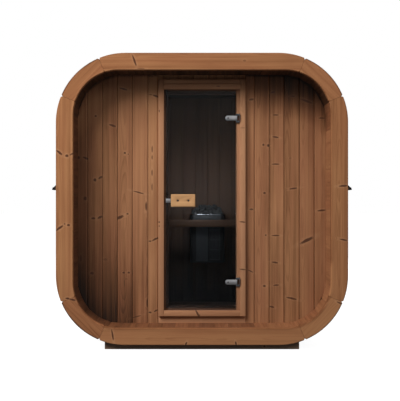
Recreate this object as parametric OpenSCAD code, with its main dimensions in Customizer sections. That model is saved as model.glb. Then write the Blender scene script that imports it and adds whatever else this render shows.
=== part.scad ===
// Outdoor sauna cabin. Staves laid along the depth form a shell with a rounded square section,
// a ring of planks frames each end, and a tinted glass door stands in a front wall that is set
// back behind a small porch. A heater with its guard rail hangs on the back wall.
// The origin is the centre of the footprint at ground level. X points right as seen from the
// front, the front faces -Y and Z points up. All sizes are in millimetres.

/* [Cabin] */
// Width and height of the plank rings
ring_size = 2060; // [1900:10:2400]
// Depth over both rings
cabin_depth = 1630; // [1500:10:2600]
// Outer radius of the rounded corners
corner_r = 490; // [440:5:560]
// From the ground up to the rings' lowest edge
cradle_drop = 36; // [25:1:80]

/* [Plank rings] */
// Width of the ring planks
plank_w = 120; // [100:1:140]
// Thickness of the ring planks
plank_t = 42; // [30:1:60]
// Chamfer along the planks' long edges
plank_chamfer = 4; // [1:0.5:8]
// How far the rings stand out past the staves
ring_lip = 8; // [4:1:20]
// Part of each corner that a long plank takes at its end, in degrees
joint_angle = 22.5; // [15:0.5:30]
// Open joint between two ring pieces
joint_w = 1; // [0.4:0.1:3]

/* [Staves] */
// Width that the staves come near to on the shell's outside
stave_w = 96; // [70:1:140]
// Width of the V joint between two staves
v_joint_w = 7; // [3:0.5:12]
// Depth of the V joint
v_joint_d = 4; // [2:0.5:8]

/* [End walls] */
// From the front ring's face back to the front wall
porch_depth = 250; // [180:5:400]
// From the rear ring's face in to the back wall
rear_recess = 60; // [50:5:150]
// Thickness of the front and back walls
wall_t = 42; // [28:1:60]
// Depth of the grooves in the staves that hold the walls
croze_d = 12; // [6:1:20]

/* [Cradles] */
// Length of the cradle planks across the cabin
cradle_w = 1380; // [1150:10:1600]
// Thickness of the cradle planks
cradle_t = 45; // [30:1:80]

/* [Straps] */
// Width of the steel straps
strap_w = 30; // [15:1:50]
// Thickness of the steel straps
strap_t = 2; // [1:0.5:4]
// From a ring's inner face in to the strap beside it
strap_inset = 58; // [50:1:150]
// Height of the strap tensioners above the middle of the cabin
tension_rise = 75; // [-200:5:200]
// Gap between the two lugs of a tensioner
lug_gap = 8; // [4:1:20]
// How far the lugs stand out from the staves
lug_reach = 52; // [30:1:80]
// Height of the upper lug at the strap
upper_lug_h = 28; // [15:1:45]
// Height of the lower lug at the strap
lower_lug_h = 12; // [8:1:45]

/* [Door frame] */
// Clear width between the jambs
opening_w = 556; // [480:2:700]
// Height of the strip of wall over the frame
over_door_h = 34; // [20:1:200]
// Height of the frame's foot above the floor
frame_rise = 52; // [30:1:80]
// Face width of the jambs, the sill and the head
jamb_w = 42; // [30:1:60]
// Height of the casing board over the head
casing_h = 32; // [20:1:45]
// How far the casing board lies behind the frame's face
casing_set = 3; // [1:1:8]
// How far the frame stands out from the wall
frame_proud = 25; // [15:1:40]
// Depth of the frame
frame_d = 92; // [85:1:120]
// Width of the stop strips on the latch side, head and sill
stop_w = 30; // [25:1:40]
// Width of the stop strip on the hinge side
hinge_stop_w = 26; // [20:1:28]
// From the frame's face back to the stop strips
stop_set = 25; // [25:1:35]

/* [Glass door] */
// Thickness of the glass
glass_t = 8; // [6:1:10]
// From the frame's face back to the glass
glass_set = 12; // [8:1:12]
// Gap between the glass and the latch jamb
latch_gap = 14; // [8:1:20]
// Gap between the glass and the hinge jamb
hinge_gap = 33; // [32:1:40]
// Gap between the glass and the head
top_gap = 11; // [6:1:20]
// Gap between the glass and the sill
bottom_gap = 17; // [6:1:20]

/* [Hinges] */
// From the hinge jamb out to the hinge pin
pin_set = 24; // [20:0.5:25]
// From the glass's top edge down to the upper hinge
upper_hinge_drop = 199; // [120:1:400]
// From the glass's bottom edge up to the lower hinge
lower_hinge_rise = 190; // [120:1:400]
// Radius of the hinge pin
pin_r = 3; // [2:0.25:3.5]
// Radial clearance of the pin in the clamp
pin_clear = 0.1; // [0.05:0.05:0.3]
// Outer radius of the hinge knuckles
knuckle_r = 6; // [5:0.5:7]
// Height of the fixed knuckles above and below the clamp
knuckle_h = 14; // [10:1:20]
// Gap between a fixed knuckle and the clamp
knuckle_gap = 0.5; // [0.3:0.1:1]
// Thickness of the plate on the jamb
leaf_t = 3; // [2:0.5:4]
// Length of the glass clamps from their round end to the glass's edge
clamp_len = 74; // [60:1:90]
// Height of the glass clamps
clamp_h = 36; // [28:1:45]
// Thickness of each clamp plate
clamp_t = 6; // [4:1:8]
// Thickness of the round cap on the clamp's outer plate
cap_t = 3; // [1:0.5:4]
// Length of the cap
cap_len = 42; // [38:1:60]
// Clearance between a clamp and the glass
glass_fit = 0.3; // [0.1:0.1:1]

/* [Handle and latch] */
// Length of the wooden handle blocks
handle_w = 178; // [120:1:220]
// Height of the wooden handle blocks
handle_h = 93; // [60:1:120]
// Thickness of the wooden handle blocks
handle_t = 32; // [20:1:45]
// Chamfer around the handle blocks
handle_chamfer = 4; // [1:0.5:8]
// From the glass's free edge in to the handle
handle_set = 38; // [30:1:70]
// Height of the handle's middle above the glass's bottom edge
handle_rise = 787; // [650:1:950]
// Distance between the two screw recesses
screw_gap = 77; // [50:1:100]
// Radius of the screw recesses
screw_r = 8; // [5:0.5:12]
// Depth of the screw recesses
screw_d = 12; // [4:1:18]
// Height of the latch
latch_h = 30; // [20:1:45]
// Thickness of the latch
latch_t = 9; // [6:1:14]

/* [Heater] */
// Width of the heater casing
heater_w = 294; // [240:2:360]
// Depth of the heater casing
heater_d = 260; // [200:2:320]
// Height of the heater casing
heater_h = 411; // [350:1:500]
// Height of the casing's underside above the floor
heater_rise = 369; // [250:1:450]
// Sideways place of the heater's middle
heater_x = 49; // [-100:1:100]
// Gap between the casing and the back wall
heater_gap = 40; // [30:1:60]
// Radius of the casing's upright edges
heater_r = 36; // [20:1:50]
// Thickness of the casing around the stones
casing_wall = 4; // [3:1:8]
// Depth of the stone tray
tray_d = 150; // [100:1:200]
// Radius of the heap's stones
stone_r = 38; // [34:1:42]
// Height of the lower stones' middles above the casing's rim
stone_bed = 10; // [0:1:20]
// Height of the upper stones above the lower ones
stone_step = 46; // [30:1:48]
// Width of the two wall bracket bars
bracket_w = 30; // [20:1:40]
// Height of the two wall bracket bars
bracket_h = 300; // [200:1:340]

/* [Heater guard] */
// Width of the guard over its side rails
guard_w = 700; // [620:5:900]
// Height of the guard's top edge above the floor
guard_rise = 736; // [600:1:900]
// Height of the guard's rails
rail_h = 60; // [40:1:80]
// Thickness of the guard's rails
rail_t = 28; // [18:1:40]
// Gap between the heater and the guard's front rail
guard_gap = 60; // [40:1:100]

/* [Hidden] */
$fn = 96;

// Clearance that keeps close-fitting pieces from pressing into each other
seat_gap = 0.3;
// Overlap that lets a cut run clear of the face it starts on
over = 1;
// From the jamb's edges in to the plate of a hinge on it
leaf_inset = 1;

ring_half = ring_size / 2;
middle_z = cradle_drop + ring_half;
// Distance of the corners' arc centres from the middle, the same for every outline
arc_c = ring_half - corner_r;
front_y = -cabin_depth / 2;
rear_y = cabin_depth / 2;
// Half of the rings' open joint as an angle at the middle of the planks
joint_half = (joint_w / 2) / (corner_r - plank_w / 2) * 180 / PI;

stave_outer_r = corner_r - ring_lip;
stave_inner_r = corner_r - plank_w;
stave_front_y = front_y + plank_t;
stave_rear_y = rear_y - plank_t;
stave_outer = arc_c + stave_outer_r;
stave_inner = arc_c + stave_inner_r;
floor_z = middle_z - stave_inner;

front_wall_y = front_y + porch_depth;
back_wall_y = rear_y - rear_recess - wall_t;
croze_w = wall_t + 2 * seat_gap;

frame_y = front_wall_y - frame_proud;
frame_z = floor_z + frame_rise;
frame_top = floor_z + 2 * stave_inner - over_door_h;
frame_half = opening_w / 2 + jamb_w;
sill_z = frame_z + jamb_w;
head_z = frame_top - casing_h - jamb_w;

glass_y = frame_y + glass_set;
glass_left = -opening_w / 2 + latch_gap;
glass_right = opening_w / 2 - hinge_gap;
glass_bottom = sill_z + bottom_gap;
glass_top = head_z - top_gap;
pin_x = opening_w / 2 - pin_set;
pin_y = glass_y + glass_t / 2;
hinge_zs = [glass_top - upper_hinge_drop, glass_bottom + lower_hinge_rise];
knuckle_span = clamp_h / 2 + knuckle_gap + knuckle_h;

handle_x = glass_left + handle_set;
handle_z = glass_bottom + handle_rise;

heater_z = floor_z + heater_rise;
heater_back = back_wall_y - heater_gap;
heater_front = heater_back - heater_d;
guard_z = floor_z + guard_rise - rail_h;
guard_front = heater_front - guard_gap - rail_t;

lug_z = middle_z + tension_rise;
strap_r = stave_outer_r + seat_gap;

WOOD = [0.55, 0.35, 0.21];
DARK_WOOD = [0.42, 0.26, 0.16];
STEEL = [0.72, 0.73, 0.74];

// Takes a shape drawn as X across, Y up, Z deep and stands it upright
module upright() {
    rotate([90, 0, 0]) mirror([0, 0, 1]) children();
}

// Outline of the cabin's section for a given corner radius, all outlines being concentric
module outline(r) {
    translate([0, middle_z]) {
        square([2 * (arc_c + r), 2 * arc_c], center = true);
        square([2 * arc_c, 2 * (arc_c + r)], center = true);
        for (x = [-1, 1], z = [-1, 1]) translate([x * arc_c, z * arc_c]) circle(r);
    }
}

// Turns to one side of the cabin: 0 right, 1 top, 2 left, 3 bottom. The side's own X runs
// along it and its Y outwards, from the line through the two arc centres
module on_side(k) {
    upright() translate([0, middle_z, 0]) rotate([0, 0, 90 * (k - 1)]) translate([0, arc_c, 0]) children();
}

// Turns to one corner: 0 top right, 1 top left, 2 bottom left, 3 bottom right
module on_corner(k) {
    upright() translate([0, middle_z, 0]) rotate([0, 0, 90 * k]) translate([arc_c, arc_c, 0]) children();
}

// Sweeps a profile of radius and depth straight along a side
module straight_run() {
    rotate([90, 0, 90]) linear_extrude(2 * arc_c, center = true) children();
}

// Sweeps a profile of radius and depth around an arc from angle a to angle b
module arc_run(a, b) {
    rotate([0, 0, a]) rotate_extrude(angle = b - a) children();
}

// Section of a ring plank, chamfered along its four edges
module plank_profile(y) {
    w = plank_w;
    t = plank_t;
    c = plank_chamfer;
    translate([corner_r - w, y])
        polygon([[c, 0], [w - c, 0], [w, c], [w, t - c], [w - c, t], [c, t], [0, t - c], [0, c]]);
}

// Long plank of a ring: a straight stretch with the first part of each corner
module ring_plank(k, y) {
    turn = joint_angle - joint_half;
    on_side(k) {
        straight_run() plank_profile(y);
        translate([arc_c, 0, 0]) arc_run(90 - turn, 90) plank_profile(y);
        translate([-arc_c, 0, 0]) arc_run(90, 90 + turn) plank_profile(y);
    }
}

// Corner piece of a ring, between the ends of two long planks
module ring_corner(k, y) {
    turn = joint_angle + joint_half;
    on_corner(k) arc_run(turn, 90 - turn) plank_profile(y);
}

// Section through the staves, with the grooves that hold both end walls
module stave_profile() {
    difference() {
        translate([stave_inner_r, stave_front_y])
            square([stave_outer_r - stave_inner_r, stave_rear_y - stave_front_y]);
        for (y = [front_wall_y, back_wall_y])
            translate([stave_inner_r - over, y - seat_gap]) square([croze_d + over, croze_w]);
    }
}

// V joint along the depth, cut into the shell's outside at a local height of r
module v_joint(r) {
    slope = v_joint_w / 2 / v_joint_d;
    translate([0, 0, stave_front_y - over]) linear_extrude(stave_rear_y - stave_front_y + 2 * over)
        polygon([[0, r - v_joint_d], [slope * (v_joint_d + over), r + over], [-slope * (v_joint_d + over), r + over]]);
}

// Flat panel of staves, with a V joint between each two and half a joint at either end
module flat_staves(k) {
    n = max(1, round(2 * arc_c / stave_w));
    color(WOOD) on_side(k) difference() {
        straight_run() stave_profile();
        for (i = [0 : n]) translate([-arc_c + i * 2 * arc_c / n, 0, 0]) v_joint(stave_outer_r);
    }
}

// Quarter round of staves at a corner, with joints as on the flat panels
module corner_staves(k) {
    n = max(1, round(stave_outer_r * PI / 2 / stave_w));
    color(WOOD) on_corner(k) difference() {
        arc_run(0, 90) stave_profile();
        for (i = [0 : n]) rotate([0, 0, i * 90 / n - 90]) v_joint(stave_outer_r);
    }
}

// Cradle plank with a saddle cut to the shell, its ends reaching up to the corners' arcs
module cradle(y) {
    run = max(0, cradle_w / 2 - arc_c);
    h = middle_z - arc_c - sqrt(pow(stave_outer_r, 2) - pow(run, 2));
    color(DARK_WOOD) translate([0, y, 0]) upright() linear_extrude(cradle_t) difference() {
        translate([-cradle_w / 2, 0]) square([cradle_w, h]);
        outline(stave_outer_r + seat_gap);
    }
}

// Full end wall, let into the grooves of the staves
module wall_outline() {
    outline(stave_inner_r + croze_d - seat_gap);
}

module front_wall_slab() {
    color(WOOD) translate([0, front_wall_y, 0]) upright() linear_extrude(wall_t) intersection() {
        wall_outline();
        children();
    }
}

module front_wall_side(s) {
    reach = ring_size;
    front_wall_slab() translate([s > 0 ? frame_half : -frame_half - reach, 0]) square([reach, 2 * reach]);
}

module front_wall_strip(z0, z1) {
    front_wall_slab() translate([-frame_half, z0]) square([2 * frame_half, z1 - z0]);
}

module back_wall() {
    color(WOOD) translate([0, back_wall_y, 0]) upright() linear_extrude(wall_t) wall_outline();
}

// Section of a rebated frame member: the face part, then the stop strip behind the glass
module rebate_profile(strip) {
    square([jamb_w, frame_d]);
    translate([0, stop_set]) square([jamb_w + strip, frame_d - stop_set]);
}

module jamb(s, strip) {
    color(WOOD) translate([s * frame_half, frame_y, frame_z]) mirror([s > 0 ? 1 : 0, 0, 0])
        linear_extrude(frame_top - frame_z) rebate_profile(strip);
}

// Sill or head, between the jambs, with its strip cut short of the jambs' strips
module cross_member(z, s) {
    left = -opening_w / 2 + stop_w;
    right = opening_w / 2 - hinge_stop_w;
    color(WOOD) {
        translate([-opening_w / 2, frame_y, s > 0 ? z : z - jamb_w]) cube([opening_w, stop_set, jamb_w]);
        translate([left, frame_y, s > 0 ? z - stop_w : z - jamb_w]) difference() {
            cube([right - left, frame_d, jamb_w + stop_w]);
            translate([-over, -over, s > 0 ? -over : jamb_w])
                cube([right - left + 2 * over, stop_set + over, stop_w + over]);
        }
    }
}

// Casing board over the head: its face part fills the width between the jambs, the rest behind
// it stands between their strips
module head_casing() {
    color(WOOD) {
        translate([-opening_w / 2, frame_y + casing_set, head_z + jamb_w])
            cube([opening_w, stop_set - casing_set, casing_h]);
        translate([-opening_w / 2 + stop_w, frame_y + casing_set, head_z + jamb_w])
            cube([opening_w - stop_w - hinge_stop_w, frame_d - casing_set, casing_h]);
    }
}

module door_glass() {
    color([0.05, 0.05, 0.06, 0.6]) translate([glass_left, glass_y, glass_bottom])
        cube([glass_right - glass_left, glass_t, glass_top - glass_bottom]);
}

// Handle block with chamfered front edges, its flat back at y = 0
module handle_block() {
    c = handle_chamfer;
    w = handle_w;
    t = handle_t;
    h = handle_h;
    intersection() {
        linear_extrude(h) polygon([[0, 0], [w, 0], [w, c - t], [w - c, -t], [c, -t], [0, c - t]]);
        rotate([90, 0, 90]) linear_extrude(w) polygon([[0, 0], [0, h], [c - t, h], [-t, h - c], [-t, c], [c - t, 0]]);
    }
}

module outer_handle() {
    color([0.8, 0.6, 0.4]) translate([handle_x, glass_y, handle_z - handle_h / 2]) difference() {
        handle_block();
        for (s = [-1, 1]) translate([handle_w / 2 + s * screw_gap / 2, screw_d - handle_t, handle_h / 2])
            rotate([90, 0, 0]) cylinder(r = screw_r, h = screw_d + over);
    }
}

module inner_handle() {
    color([0.8, 0.6, 0.4]) translate([handle_x, glass_y + glass_t, handle_z - handle_h / 2])
        mirror([0, 1, 0]) handle_block();
}

// Latch between the glass's free edge and the handle
module door_latch() {
    color(STEEL) translate([glass_left, glass_y - latch_t, handle_z - latch_h / 2])
        cube([handle_set, latch_t, latch_h]);
}

// Stadium-shaped plate with its round end at the left and a square end at x = len
module clamp_plate(len) {
    translate([clamp_h / 2, 0]) circle(clamp_h / 2);
    translate([clamp_h / 2, -clamp_h / 2]) square([len - clamp_h / 2, clamp_h]);
}

// Glass clamp: two plates over the glass, joined past its edge to the moving knuckle
module hinge_clamp(z) {
    left = glass_right - clamp_len;
    bridge = glass_right + glass_fit;
    half_t = glass_t / 2 + glass_fit + clamp_t;
    color(STEEL) difference() {
        union() {
            translate([left, pin_y - half_t, z]) upright() linear_extrude(clamp_t) clamp_plate(clamp_len + glass_fit);
            translate([left, pin_y + half_t - clamp_t, z]) upright()
                linear_extrude(clamp_t) clamp_plate(clamp_len + glass_fit);
            translate([left, pin_y - half_t - cap_t, z]) upright() linear_extrude(cap_t) clamp_plate(cap_len);
            translate([bridge, pin_y - knuckle_r, z - clamp_h / 2])
                cube([pin_x - bridge, 2 * knuckle_r, clamp_h]);
            translate([bridge, pin_y - half_t, z - clamp_h / 2]) cube([leaf_t, 2 * half_t, clamp_h]);
            translate([pin_x, pin_y, z - clamp_h / 2]) cylinder(r = knuckle_r, h = clamp_h);
        }
        translate([pin_x, pin_y, z - clamp_h / 2 - over]) cylinder(r = pin_r + pin_clear, h = clamp_h + 2 * over);
    }
}

// Leaf on the hinge jamb: plate, two arms with their knuckles, and the pin between them
module wall_leaf(z) {
    jamb_x = opening_w / 2;
    color(STEEL) {
        translate([jamb_x - leaf_t, frame_y + leaf_inset, z - knuckle_span])
            cube([leaf_t, stop_set - 2 * leaf_inset, 2 * knuckle_span]);
        for (z0 = [z - knuckle_span, z + knuckle_span - knuckle_h]) {
            translate([pin_x, pin_y - leaf_t, z0]) cube([jamb_x - leaf_t / 2 - pin_x, 2 * leaf_t, knuckle_h]);
            translate([pin_x, pin_y, z0]) cylinder(r = knuckle_r, h = knuckle_h);
        }
        translate([pin_x, pin_y, z - knuckle_span]) cylinder(r = pin_r, h = 2 * knuckle_span);
    }
}

module hinge_wall_leaves() {
    for (z = hinge_zs) wall_leaf(z);
}

// Lug on the strap at one side of the cabin: s is the side, d is 1 for the upper lug and -1
// for the lower one. It starts under the strap, which trims it, and its point is cut blunt
module lug(s, d, h) {
    x = stave_outer - over;
    tip = stave_outer + lug_reach;
    upright() translate([0, lug_z, 0]) mirror([s > 0 ? 0 : 1, 0, 0]) mirror([0, d > 0 ? 0 : 1, 0])
        linear_extrude(strap_w) polygon([[x, 0], [tip, 0], [tip, lug_gap / 2], [x, lug_gap / 2 + h]]);
}

// Strap around the staves in two halves, drawn together by the tensioners at both sides
module strap(y) {
    color(STEEL) translate([0, y, 0]) difference() {
        union() {
            upright() linear_extrude(strap_w) outline(strap_r + strap_t);
            for (s = [-1, 1]) {
                lug(s, 1, upper_lug_h);
                lug(s, -1, lower_lug_h);
            }
        }
        translate([0, -over, 0]) upright() linear_extrude(strap_w + 2 * over) outline(strap_r);
        translate([-ring_size, -over, lug_z - lug_gap / 2]) cube([2 * ring_size, strap_w + 2 * over, lug_gap]);
    }
}

// Rounded plan of the heater, shrunk by g on every side
module heater_plan(g) {
    r = heater_r - g;
    w = heater_w / 2 - heater_r;
    translate([heater_x, heater_front + heater_d / 2]) {
        square([2 * w, heater_d - 2 * g], center = true);
        square([heater_w - 2 * g, heater_d - 2 * heater_r], center = true);
        for (x = [-1, 1], y = [-1, 1]) translate([x * w, y * (heater_d / 2 - heater_r)]) circle(r);
    }
}

module heater_casing() {
    color([0.3, 0.3, 0.31]) translate([0, 0, heater_z]) difference() {
        linear_extrude(heater_h) heater_plan(0);
        translate([0, 0, heater_h - tray_d]) linear_extrude(tray_d + over) heater_plan(casing_wall);
    }
}

// Heap of stones: a filled tray with two layers of rounded stones on top
module heater_stones() {
    rim = heater_z + heater_h;
    span_x = heater_w - 2 * (casing_wall + seat_gap + stone_r);
    span_y = heater_d - 2 * (casing_wall + seat_gap + stone_r);
    mid = [heater_x, heater_front + heater_d / 2];
    color([0.35, 0.35, 0.34]) {
        translate([0, 0, rim - tray_d]) linear_extrude(tray_d) heater_plan(casing_wall + seat_gap);
        for (i = [-1.5 : 1.5], j = [-1 : 1])
            translate([mid[0] + i * span_x / 3, mid[1] + j * span_y / 2, rim + stone_bed]) sphere(stone_r);
        for (i = [-1 : 1], j = [-0.5, 0.5])
            translate([mid[0] + i * span_x / 3, mid[1] + j * span_y / 2, rim + stone_bed + stone_step])
                sphere(stone_r);
    }
}

module heater_bracket() {
    color([0.25, 0.25, 0.26]) for (s = [-1, 1])
        translate([heater_x + s * heater_w / 4 - bracket_w / 2, heater_back, heater_z + (heater_h - bracket_h) / 2])
            cube([bracket_w, heater_gap, bracket_h]);
}

module guard_front_rail() {
    color(WOOD) translate([heater_x - guard_w / 2, guard_front, guard_z]) cube([guard_w, rail_t, rail_h]);
}

module guard_side_rails() {
    y = guard_front + rail_t;
    color(WOOD) for (x = [heater_x - guard_w / 2, heater_x + guard_w / 2 - rail_t])
        translate([x, y, guard_z]) cube([rail_t, back_wall_y - y, rail_h]);
}

module rear_ring_planks() {
    color(WOOD) for (k = [0 : 3]) ring_plank(k, stave_rear_y);
}

module rear_ring_corners() {
    color(WOOD) for (k = [0 : 3]) ring_corner(k, stave_rear_y);
}

cradle(stave_front_y);  // front_cradle
cradle(-cradle_t / 2);  // middle_cradle
cradle(stave_rear_y - cradle_t);  // rear_cradle
flat_staves(3);  // floor_staves
flat_staves(1);  // roof_staves
flat_staves(2);  // left_wall_staves
flat_staves(0);  // right_wall_staves
corner_staves(0);  // corner_staves_top_right
corner_staves(1);  // corner_staves_top_left
corner_staves(2);  // corner_staves_bottom_left
corner_staves(3);  // corner_staves_bottom_right
color(WOOD) ring_plank(1, front_y);  // front_ring_top
color(WOOD) ring_plank(3, front_y);  // front_ring_bottom
color(WOOD) ring_plank(2, front_y);  // front_ring_left
color(WOOD) ring_plank(0, front_y);  // front_ring_right
color(WOOD) ring_corner(0, front_y);  // front_ring_corner_top_right
color(WOOD) ring_corner(1, front_y);  // front_ring_corner_top_left
color(WOOD) ring_corner(2, front_y);  // front_ring_corner_bottom_left
color(WOOD) ring_corner(3, front_y);  // front_ring_corner_bottom_right
rear_ring_planks();
rear_ring_corners();
front_wall_side(-1);  // front_wall_left
front_wall_side(1);  // front_wall_right
front_wall_strip(frame_top, 2 * ring_size);  // front_wall_over_door
front_wall_strip(0, frame_z);  // front_wall_under_door
back_wall();
jamb(-1, stop_w);  // door_latch_jamb
jamb(1, hinge_stop_w);  // door_hinge_jamb
cross_member(head_z, 1);  // door_head
head_casing();  // door_head_casing
cross_member(sill_z, -1);  // door_sill
door_glass();
outer_handle();
inner_handle();
door_latch();
hinge_clamp(hinge_zs[0]);  // upper_hinge_clamp
hinge_clamp(hinge_zs[1]);  // lower_hinge_clamp
hinge_wall_leaves();
strap(stave_front_y + strap_inset);  // front_strap
strap(stave_rear_y - strap_inset - strap_w);  // rear_strap
heater_casing();
heater_stones();
heater_bracket();
guard_front_rail();
guard_side_rails();
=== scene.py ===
import math

import bmesh
import bpy
import numpy as np
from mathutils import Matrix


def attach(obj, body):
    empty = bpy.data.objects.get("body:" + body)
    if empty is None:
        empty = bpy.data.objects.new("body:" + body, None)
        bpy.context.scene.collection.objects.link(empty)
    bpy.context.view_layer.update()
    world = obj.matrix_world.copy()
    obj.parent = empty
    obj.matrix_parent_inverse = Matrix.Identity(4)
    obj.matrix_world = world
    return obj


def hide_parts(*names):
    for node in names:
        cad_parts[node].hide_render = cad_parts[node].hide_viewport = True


# Outdoor sauna cabin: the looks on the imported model. Metres, Z up, the front faces -Y.

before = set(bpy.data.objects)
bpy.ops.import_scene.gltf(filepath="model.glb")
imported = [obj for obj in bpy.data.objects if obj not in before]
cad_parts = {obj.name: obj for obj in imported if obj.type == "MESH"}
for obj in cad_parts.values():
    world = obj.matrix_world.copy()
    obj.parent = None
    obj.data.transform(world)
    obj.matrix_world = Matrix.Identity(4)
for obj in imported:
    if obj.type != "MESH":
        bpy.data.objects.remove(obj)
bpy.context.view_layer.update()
mm = 0.001

# Places shared by most pieces
cabin = {
    "middleZ": 1.066,
    "arcCentre": 0.540,      # half the straight stretch of each side
    "outerRadius": 0.482,    # corner radius of the shell's outside
    "innerCentre": 0.588,    # the same for the inside, whose corners are tighter, so that rings and
    "innerCorner": 0.322,    # shell narrow towards the middle of each bend
}


# Mesh tools

# Ways of a board's wood: along the fibres, across its face and into it
upright = ((0, 0, 1), (1, 0, 0), (0, 1, 0))
level = ((1, 0, 0), (0, 0, 1), (0, 1, 0))
inward = ((0, 1, 0), (0, 0, 1), (1, 0, 0))
lying = ((0, 1, 0), (1, 0, 0), (0, 0, 1))


def sweepFaces(stations, count, start, closed=False):
    # Quads between neighbouring stations of a closed profile, and in a closed sweep from last to first
    i = (np.arange(stations if closed else stations - 1) * count)[:, None]
    j = np.arange(count)[None, :]
    k, n = (j + 1) % count, (i + count) % (stations * count)
    return np.stack([i + j, i + k, n + k, n + j], axis=-1).reshape(-1, 4) + start


def gatherParts(parts):
    # One list of points and faces out of many closed sweeps: sides as quads, ends as polygons
    points, faces, grains, tones, hues = [], [], [], [], []
    start = 0
    for part in parts:
        rows = part["rows"]
        stations, count, _ = rows.shape
        points.append(rows.reshape(-1, 3))
        faces += sweepFaces(stations, count, start).tolist()
        faces.append(list(range(start + count - 1, start - 1, -1)))
        last = start + (stations - 1) * count
        faces.append(list(range(last, last + count)))
        grains.append(part["grain"].reshape(-1, 3))
        tones.append(np.zeros(stations * count) + part["tone"])
        hues.append(np.full(stations * count, part["hue"]))
        start += stations * count
    return (np.concatenate(points), faces, np.concatenate(grains),
            np.concatenate(tones), np.concatenate(hues))


def setAttributes(mesh, grain, tone, hue):
    for name, field, values in (("grain", "vector", grain), ("tone", "value", tone), ("hue", "value", hue)):
        kind = "FLOAT_VECTOR" if field == "vector" else "FLOAT"
        layer = mesh.attributes.get(name) or mesh.attributes.new(name, kind, "POINT")
        layer.data.foreach_set(field, np.asarray(values, dtype=np.float32).ravel())


def newObject(name, data):
    item = bpy.data.objects.new(name, data)
    bpy.context.scene.collection.objects.link(item)
    return item


def placeObject(name, mesh, material, body, nodes=()):
    piece = newObject(name, mesh)
    mesh.materials.clear()
    mesh.materials.append(material)
    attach(piece, body)
    if nodes:
        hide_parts(*nodes)


def closeMesh(mesh, angle=None):
    # Faces outwards; with an angle, smooth shading that breaks at sharper edges
    form = bmesh.new()
    form.from_mesh(mesh)
    bmesh.ops.recalc_face_normals(form, faces=form.faces)
    form.to_mesh(mesh)
    form.free()
    if angle:
        mesh.shade_smooth()
        mesh.set_sharp_from_angle(angle=math.radians(angle))
    mesh.update()


def boardObject(name, parts, material, nodes=(), body="cabin", angle=None):
    points, faces, grain, tone, hue = gatherParts(parts)
    mesh = bpy.data.meshes.new(name)
    mesh.from_pydata(points.tolist(), [], faces)
    setAttributes(mesh, grain, tone, hue)
    closeMesh(mesh, angle)
    placeObject(name, mesh, material, body, nodes)


def grainOf(points, ways, luck):
    # Place of each point in its board's own wood: along the fibres, across the face, into the board,
    # moved by chance so that no two boards are cut from the same stretch of trunk
    local = points.reshape(-1, 3) @ np.array(ways, float).T
    middle = (local.max(axis=0) + local.min(axis=0)) / 2
    shift = np.array([luck.uniform(0, 40), luck.uniform(-0.09, 0.09), luck.uniform(0.03, 0.11)])
    return local - np.array([0, middle[1], middle[2]]) + shift


def boardPart(rows, ways, luck, tone=None, hue=None):
    return {
        "rows": rows,
        "grain": grainOf(rows, ways, luck),
        "tone": luck.normal(0, 0.35) if tone is None else tone,
        "hue": luck.normal(0, 0.4) if hue is None else hue,
    }


def dressNode(name, node, material, bevel, ways, seed, body="cabin",
              tone=0.0, hue=0.0, segments=2, shade=None, cuts=()):
    # Copy of a CAD piece: doubles merged, flat faces joined up, edges rounded, grain laid on. Level
    # cuts give the shade points to stand on
    luck = np.random.default_rng(seed)
    form = bmesh.new()
    form.from_mesh(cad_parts[node].data)
    bmesh.ops.remove_doubles(form, verts=form.verts, dist=2e-6)
    bmesh.ops.dissolve_limit(form, angle_limit=math.radians(0.5), verts=form.verts, edges=form.edges)
    if bevel:
        sharp = [e for e in form.edges if e.is_manifold and e.calc_face_angle(0) > math.radians(30)]
        bmesh.ops.bevel(form, geom=sharp, offset=bevel, segments=segments, profile=0.5,
                        affect="EDGES", clamp_overlap=True)
    for height in cuts:
        whole = list(form.verts) + list(form.edges) + list(form.faces)
        bmesh.ops.bisect_plane(form, geom=whole, plane_co=(0, 0, height), plane_no=(0, 0, 1))
    bmesh.ops.recalc_face_normals(form, faces=form.faces)
    mesh = bpy.data.meshes.new(name)
    form.to_mesh(mesh)
    form.free()
    points = np.empty(len(mesh.vertices) * 3)
    mesh.vertices.foreach_get("co", points)
    grain = grainOf(points, ways, luck)
    flat = np.ones(len(mesh.vertices))
    if shade:
        tone = tone + shade(points.reshape(-1, 3))
    setAttributes(mesh, grain, flat * tone, flat * hue)
    mesh.shade_smooth()
    mesh.set_sharp_from_angle(angle=math.radians(35))
    placeObject(name, mesh, material, body, [node])


def latheRows(profile, centre, axis, turns=24):
    # Surface of revolution: radius and height pairs turned around an axis through the centre
    radius, height = np.asarray(profile, float).T
    angle = np.arange(turns) * 2 * math.pi / turns
    across = radius[:, None] * np.cos(angle)[None, :]
    up = radius[:, None] * np.sin(angle)[None, :]
    lift = np.repeat(height[:, None], turns, axis=1)
    order = {"x": (lift, across, up), "y": (across, lift, up), "z": (across, up, lift)}[axis]
    return np.stack(order, axis=-1) + np.asarray(centre, float)


def plainObject(name, rowsList, material, nodes=(), body="cabin", angle=40, ways=upright, luck=None):
    # Piece of one even tone, out of closed sweeps
    luck = luck or np.random.default_rng(1)
    parts = [boardPart(rows, ways, luck, 0.0, 0.0) for rows in rowsList]
    boardObject(name, parts, material, nodes, body, angle)


# The cabin's outline

def outlinePlaces(distance, radius, half=cabin["arcCentre"]):
    # Point on the core square and angle of the outward normal, at a distance along the outline
    # with that corner radius, anticlockwise from the middle of the floor
    period = 2 * half + radius * math.pi / 2
    run = np.mod(np.asarray(distance, float) + half, 4 * period)
    side = np.floor(run / period)
    rest = run - side * period
    first = -math.pi / 2 + side * math.pi / 2
    angle = first + np.maximum(rest - 2 * half, 0) / radius
    along = np.minimum(rest, 2 * half) - half
    coreX = along * np.cos(first + math.pi / 2) + half * np.cos(first)
    coreZ = along * np.sin(first + math.pi / 2) + half * np.sin(first) + cabin["middleZ"]
    return np.stack([coreX, coreZ], axis=-1), angle


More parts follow.
